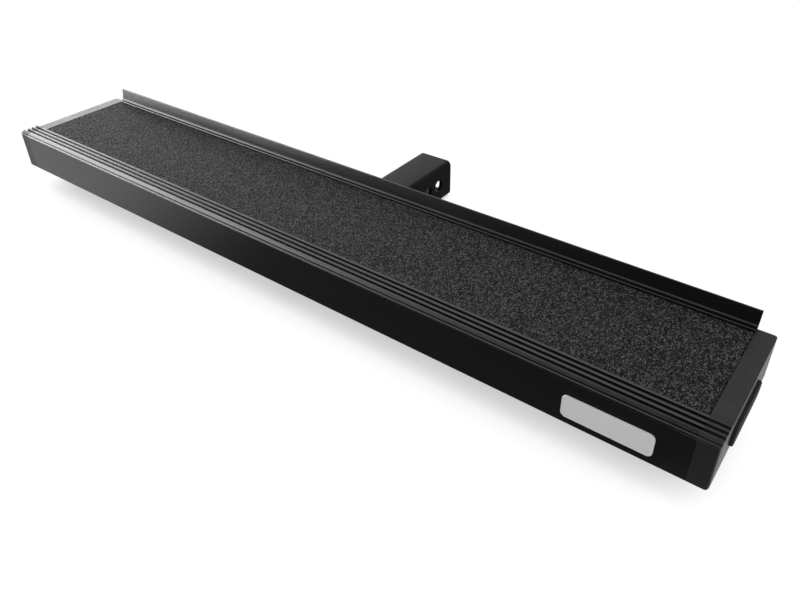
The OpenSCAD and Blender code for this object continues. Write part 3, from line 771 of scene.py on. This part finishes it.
class HITCHSTEP_OT_studio(bpy.types.Operator):
    """Set the floor, the surround, the lamps and the camera."""

    bl_idname = "hitch_step.studio"
    bl_label = "Set the studio"

    def execute(self, context):
        scene = context.scene
        studio = scene.hitch_step_studio
        scene.view_settings.view_transform = "Standard"
        self.floor(scene)
        self.dark_cards(scene)
        self.bright_cards(scene)
        self.surround(scene, studio.surround)
        target = Vector((0, -0.21, 0.03))
        low_left = Vector((-0.92, 0.08, 0.27))
        overhead = Vector((-0.3, 0.1, 1.0))
        self.lamp(scene, "left_lamp", target, low_left, 3.4, (5.0, 1.8), studio.key_power)
        self.lamp(scene, "overhead_lamp", target, overhead, 2.2, (2.4, 2.2), studio.top_power)
        self.camera(scene, studio.lens)
        return {"FINISHED"}

    def sheet(self, scene, name, corners, material):
        """A flat four-cornered sheet of the stage."""
        mesh = bpy.data.meshes.new(name)
        mesh.from_pydata(corners, [], [[0, 1, 2, 3]])
        mesh.materials.append(material)
        sheet = bpy.data.objects.new(name, mesh)
        scene.collection.objects.link(sheet)
        return sheet

    def floor(self, scene):
        """Pale floor under the lowest point. To the camera it glows white, with a painted shadow where the
        part stands over it: the glow dims by ambient occlusion.
        """
        level = CAD_BOX[0][2] - FLOOR_DROP
        material = bpy.data.materials.new("pale_floor")
        material.use_nodes = True
        tree = material.node_tree
        tree.nodes.clear()
        path = add_node(tree, "ShaderNodeLightPath")
        plain = add_node(tree, "ShaderNodeBsdfDiffuse", {"Color": (0.8, 0.8, 0.8, 1)})
        # Painted shadow: to the camera, the floor's white glow falls with ambient occlusion near and under
        # the part.
        painted_shadow_occlusion = add_node(tree, "ShaderNodeAmbientOcclusion", {"Distance": 0.25}, samples=16)
        shown = add_node(tree, "ShaderNodeMapRange", {
            "Value": painted_shadow_occlusion.outputs["AO"], "From Min": 0.2, "From Max": 0.63,
            "To Min": 0.55, "To Max": 1.02})
        seen = add_node(tree, "ShaderNodeEmission",
                        {"Color": (1, 1, 1, 1), "Strength": shown.outputs["Result"]})
        mirrored = add_node(tree, "ShaderNodeEmission", {"Color": (1, 1, 1, 1), "Strength": 0.9})
        first = add_node(tree, "ShaderNodeMixShader", {0: path.outputs["Is Camera Ray"]})
        tree.links.new(plain.outputs[0], first.inputs[1])
        tree.links.new(seen.outputs[0], first.inputs[2])
        both = add_node(tree, "ShaderNodeMixShader", {0: path.outputs["Is Glossy Ray"]})
        tree.links.new(first.outputs[0], both.inputs[1])
        tree.links.new(mirrored.outputs[0], both.inputs[2])
        result = add_node(tree, "ShaderNodeOutputMaterial")
        tree.links.new(both.outputs[0], result.inputs[0])
        reach = 12.0
        corners = [(x * reach, y * reach, level) for x, y in ((-1, -1), (1, -1), (1, 1), (-1, 1))]
        self.sheet(scene, "floor", corners, material)

    def dark_cards(self, scene):
        """Dark cards on the floor, in front and behind, seen only in reflections, so that the coats fade."""
        level = CAD_BOX[0][2] + CARD_LIFT
        front = [(-0.5, -1.6, level), (1.6, -1.6, level), (1.6, -0.31, level), (-0.5, -0.31, level)]
        under = [(-0.5, -0.31, level), (0.43, -0.31, level), (0.43, 0.9, level), (-0.5, 0.9, level)]
        behind = [(-1.4, 1.8, level), (4.5, 1.8, level), (4.5, 1.9, 2.6), (-1.4, 1.9, 2.6)]
        upright = [(-1.5, -1.5, level), (1.8, -1.5, level), (1.8, -1.2, 2.4), (-1.5, -1.2, 2.4)]
        self.card(scene, "floor_card", front, -0.42, -0.055, 0.07)
        self.card(scene, "under_card", under, -0.48, 0.02, 0.2)
        self.card(scene, "rear_card", behind, -1.3, 0.9, 0.3)
        self.card(scene, "front_card", upright, -1.1, -0.55, 0.07)

    def bright_cards(self, scene):
        """Two bright cards at the front left, one low and one high, seen only in reflections."""
        level = CAD_BOX[0][2] + CARD_LIFT
        strip = [(-3.6, -1.55, level), (-0.7, -1.55, level), (-0.7, -1.55, 0.6), (-3.6, -1.55, 0.6)]
        self.card(scene, "side_strip", strip, -1.05, -1.35, 14.0)
        upper = [(-2.6, -1.7, 1.1), (-2.6, -0.2, 1.1), (-2.6, -0.2, 2.8), (-2.6, -1.7, 2.8)]
        self.card(scene, "upper_card", upper, -1.0, -2.0, 9.0)

    def card(self, scene, name, corners, clear_x, full_x, strength):
        """One card, which fades in from clear_x to full_x and shows only in reflections."""
        material = bpy.data.materials.new(name)
        material.use_nodes = True
        tree = material.node_tree
        tree.nodes.clear()
        place = add_node(tree, "ShaderNodeTexCoord")
        parts = add_node(tree, "ShaderNodeSeparateXYZ", {0: place.outputs["Object"]})
        fade = add_node(tree, "ShaderNodeMapRange",
                        {"Value": parts.outputs["X"], "From Min": clear_x, "From Max": full_x},
                        interpolation_type="SMOOTHSTEP")
        clear = add_node(tree, "ShaderNodeBsdfTransparent")
        shown = add_node(tree, "ShaderNodeEmission", {"Color": (1, 1, 1, 1), "Strength": strength})
        both = add_node(tree, "ShaderNodeMixShader", {0: fade.outputs["Result"]})
        tree.links.new(clear.outputs[0], both.inputs[1])
        tree.links.new(shown.outputs[0], both.inputs[2])
        result = add_node(tree, "ShaderNodeOutputMaterial")
        tree.links.new(both.outputs[0], result.inputs[0])
        card = self.sheet(scene, name, corners, material)
        card.visible_camera = False
        card.visible_diffuse = False
        card.visible_shadow = False

    def surround(self, scene, level):
        """World that is white to the camera and in reflections, and a soft grey light otherwise."""
        world = bpy.data.worlds.new("studio_surround")
        world.use_nodes = True
        tree = world.node_tree
        tree.nodes.clear()
        path = add_node(tree, "ShaderNodeLightPath")
        direct = add_node(tree, "ShaderNodeMath", {
            0: path.outputs["Is Camera Ray"], 1: path.outputs["Is Glossy Ray"]}, operation="MAXIMUM")
        shown = add_node(tree, "ShaderNodeMath", {
            0: direct.outputs[0], 1: path.outputs["Is Transmission Ray"]}, operation="MAXIMUM")
        white = add_node(tree, "ShaderNodeBackground", {"Color": (1, 1, 1, 1), "Strength": 1.0})
        soft = add_node(tree, "ShaderNodeBackground", {"Color": (1, 1, 1, 1), "Strength": level})
        both = add_node(tree, "ShaderNodeMixShader", {0: shown.outputs[0]})
        tree.links.new(soft.outputs[0], both.inputs[1])
        tree.links.new(white.outputs[0], both.inputs[2])
        result = add_node(tree, "ShaderNodeOutputWorld")
        tree.links.new(both.outputs[0], result.inputs[0])
        scene.world = world

    def lamp(self, scene, name, target, direction, distance, size, power):
        """Soft rectangular lamp that looks at the target from the given direction."""
        light = bpy.data.lights.new(name, "AREA")
        light.shape = "RECTANGLE"
        light.size, light.size_y = size
        light.energy = power
        lamp = bpy.data.objects.new(name, light)
        lamp.location = target + direction.normalized() * distance
        lamp.rotation_euler = direction.to_track_quat("Z", "Y").to_euler()
        scene.collection.objects.link(lamp)

    def camera(self, scene, lens):
        """Camera at the photograph's place, with its lens and framing."""
        data = bpy.data.cameras.new("camera")
        data.lens = lens
        data.sensor_width = 36.0
        data.shift_x = -0.00266
        data.shift_y = -0.06436
        data.clip_start = 0.01
        camera = bpy.data.objects.new("camera", data)
        camera.location = (0.514684, -0.714234, 0.472748)
        camera.rotation_euler = [math.radians(angle) for angle in (56.5336, 1.0470, 37.0808)]
        scene.collection.objects.link(camera)
        scene.camera = camera


class HITCHSTEP_PT_panel(bpy.types.Panel):
    """Lists the steps and the settings of the hitch step's finish."""

    bl_idname = "HITCHSTEP_PT_panel"
    bl_label = "Hitch step"
    bl_space_type = "VIEW_3D"
    bl_region_type = "UI"
    bl_category = "Hitch step"

    def draw(self, context):
        layout = self.layout
        for operator in OPERATORS:
            layout.operator(operator.bl_idname)
        for settings in (context.scene.hitch_step_sizes, context.scene.hitch_step_colours,
                         context.scene.hitch_step_studio):
            box = layout.box()
            for label in settings.bl_rna.properties.keys():
                if label not in ("rna_type", "name"):
                    box.prop(settings, label)


OPERATORS = (
    HITCHSTEP_OT_deck, HITCHSTEP_OT_tread, HITCHSTEP_OT_caps, HITCHSTEP_OT_plate, HITCHSTEP_OT_tube,
    HITCHSTEP_OT_welds, HITCHSTEP_OT_fasteners, HITCHSTEP_OT_studio,
)
GROUPS = (HitchStepSizes, HitchStepColours, HitchStepStudio)


def register():
    """Registers the classes and the scene's settings."""
    for item in GROUPS + OPERATORS + (HITCHSTEP_PT_panel,):
        bpy.utils.register_class(item)
    bpy.types.Scene.hitch_step_sizes = bpy.props.PointerProperty(type=HitchStepSizes)
    bpy.types.Scene.hitch_step_colours = bpy.props.PointerProperty(type=HitchStepColours)
    bpy.types.Scene.hitch_step_studio = bpy.props.PointerProperty(type=HitchStepStudio)


def unregister():
    """Removes the settings and the classes."""
    del bpy.types.Scene.hitch_step_studio
    del bpy.types.Scene.hitch_step_colours
    del bpy.types.Scene.hitch_step_sizes
    for item in reversed(GROUPS + OPERATORS + (HITCHSTEP_PT_panel,)):
        bpy.utils.unregister_class(item)


def main():
    register()
    bpy.ops.hitch_step.deck()
    bpy.ops.hitch_step.tread()
    bpy.ops.hitch_step.caps()
    bpy.ops.hitch_step.plate()
    bpy.ops.hitch_step.tube()
    bpy.ops.hitch_step.welds()
    bpy.ops.hitch_step.fasteners()
    bpy.ops.hitch_step.studio()


if __name__ == "__main__":
    main()
